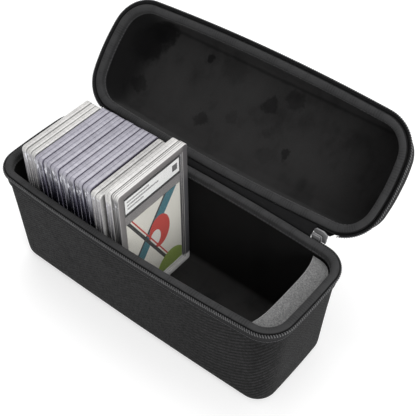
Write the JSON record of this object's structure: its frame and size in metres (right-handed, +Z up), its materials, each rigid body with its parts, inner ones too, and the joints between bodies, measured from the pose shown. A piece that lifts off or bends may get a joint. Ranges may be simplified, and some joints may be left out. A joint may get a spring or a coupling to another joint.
{
  "type": "graded card storage case",
  "caption": "Soft-sided zipped case, open, with a deep moulded tub, a hinged lid, a foam end pad and a row of upright graded card holders that lift out.",
  "frame": {"origin": "on the floor under the middle of the tub's flat underside", "axes": "+Z up, +X along the case towards the foam pad, +Y towards the hinged back"},
  "size_m": [0.2966, 0.2093, 0.1835],
  "materials": {
    "weave": "black ballistic weave laminated to a moulded EVA shell",
    "lining": "black brushed velvet",
    "binding": "dark grey woven binding tape",
    "tape": "black zip tape",
    "chain": "nylon coil",
    "slider": "grey plated metal",
    "foam": "speckled grey foam",
    "clear": "clear moulded acrylic",
    "thick": "clear acrylic over paper, cream",
    "plain": "clear acrylic over paper, cream",
    "sealed": "clear acrylic, lilac tint",
    "slim": "clear acrylic over paper, cream",
    "card": null,
    "label": "white label, plain bars"
  },
  "bodies": {
    "case": {"base_shell": "weave", "base_lining": "lining", "base_binding": "binding", "base_zip_tape": "tape", "base_zip_chain": "chain", "hinge_strip_base_side": "tape"},
    "lid": {"lid_shell": "weave", "lid_lining": "lining", "lid_binding": "binding", "lid_zip_tape": "tape", "lid_zip_chain": "chain", "hinge_strip_lid_side": "tape"},
    "slider_right": {"zip_slider_right": "slider"},
    "pull_right": {"zip_pull_right": "slider"},
    "slider_left": {"zip_slider_left": "slider"},
    "pull_left": {"zip_pull_left": "slider"},
    "end_pad": {"foam_pad": "foam"},
    "front_holder": {"front_holder_front_half": "clear", "front_holder_back_half": "clear", "graded_card": "card", "grade_label": "label"},
    "holder_01": {"card_holder_01": "thick"},
    "holder_02": {"card_holder_02": "plain"},
    "holder_03": {"card_holder_03": "plain"},
    "holder_04": {"card_holder_04": "sealed"},
    "holder_05": {"card_holder_05": "sealed"},
    "holder_06": {"card_holder_06": "sealed"},
    "holder_07": {"card_holder_07": "sealed"},
    "holder_08": {"card_holder_08": "sealed"},
    "holder_09": {"card_holder_09": "sealed"},
    "holder_10": {"card_holder_10": "sealed"},
    "holder_11": {"card_holder_11": "slim"},
    "holder_12": {"card_holder_12": "slim"},
    "holder_13": {"card_holder_13": "slim"}
  },
  "joints": [
    {"name": "lid_hinge", "type": "hinge", "parent": "case", "child": "lid", "pos_m": [0, 0.0548, 0.1022], "axis": [-1, 0, 0], "range_deg": [-133.3, 46.7]},
    {"name": "zip_run_right", "type": "hinge", "parent": "case", "child": "slider_right", "pos_m": [0.12061, 0.02604, 0.1021], "axis": [0, 0, -1], "range_deg": [0, 88]},
    {"name": "pull_swing_right", "type": "hinge", "parent": "slider_right", "child": "pull_right", "pos_m": [0.1095, 0.05395, 0.1006], "axis": [-1, 0, 0], "range_deg": [-65, 0]},
    {"name": "zip_run_left", "type": "hinge", "parent": "case", "child": "slider_left", "pos_m": [-0.12061, 0.02604, 0.1021], "axis": [0, 0, 1], "range_deg": [0, 88]},
    {"name": "pull_swing_left", "type": "hinge", "parent": "slider_left", "child": "pull_left", "pos_m": [-0.1095, 0.05395, 0.1006], "axis": [-1, 0, 0], "range_deg": [-65, 0]},
    {"name": "pad_lift", "type": "slide", "parent": "case", "child": "end_pad", "axis": [0, 0, 1], "range_m": [0, 0.12]},
    {"name": "front_holder_lift", "type": "slide", "parent": "case", "child": "front_holder", "axis": [0, 0, 1], "range_m": [0, 0.15]},
    {"name": "holder_01_lift", "type": "slide", "parent": "case", "child": "holder_01", "axis": [0, 0, 1], "range_m": [0, 0.14]},
    {"name": "holder_02_lift", "type": "slide", "parent": "case", "child": "holder_02", "axis": [0, 0, 1], "range_m": [0, 0.14]},
    {"name": "holder_03_lift", "type": "slide", "parent": "case", "child": "holder_03", "axis": [0, 0, 1], "range_m": [0, 0.14]},
    {"name": "holder_04_lift", "type": "slide", "parent": "case", "child": "holder_04", "axis": [0, 0, 1], "range_m": [0, 0.14]},
    {"name": "holder_05_lift", "type": "slide", "parent": "case", "child": "holder_05", "axis": [0, 0, 1], "range_m": [0, 0.14]},
    {"name": "holder_06_lift", "type": "slide", "parent": "case", "child": "holder_06", "axis": [0, 0, 1], "range_m": [0, 0.14]},
    {"name": "holder_07_lift", "type": "slide", "parent": "case", "child": "holder_07", "axis": [0, 0, 1], "range_m": [0, 0.14]},
    {"name": "holder_08_lift", "type": "slide", "parent": "case", "child": "holder_08", "axis": [0, 0, 1], "range_m": [0, 0.14]},
    {"name": "holder_09_lift", "type": "slide", "parent": "case", "child": "holder_09", "axis": [0, 0, 1], "range_m": [0, 0.14]},
    {"name": "holder_10_lift", "type": "slide", "parent": "case", "child": "holder_10", "axis": [0, 0, 1], "range_m": [0, 0.14]},
    {"name": "holder_11_lift", "type": "slide", "parent": "case", "child": "holder_11", "axis": [0, 0, 1], "range_m": [0, 0.14]},
    {"name": "holder_12_lift", "type": "slide", "parent": "case", "child": "holder_12", "axis": [0, 0, 1], "range_m": [0, 0.14]},
    {"name": "holder_13_lift", "type": "slide", "parent": "case", "child": "holder_13", "axis": [0, 0, 1], "range_m": [0, 0.14]}
  ]
}
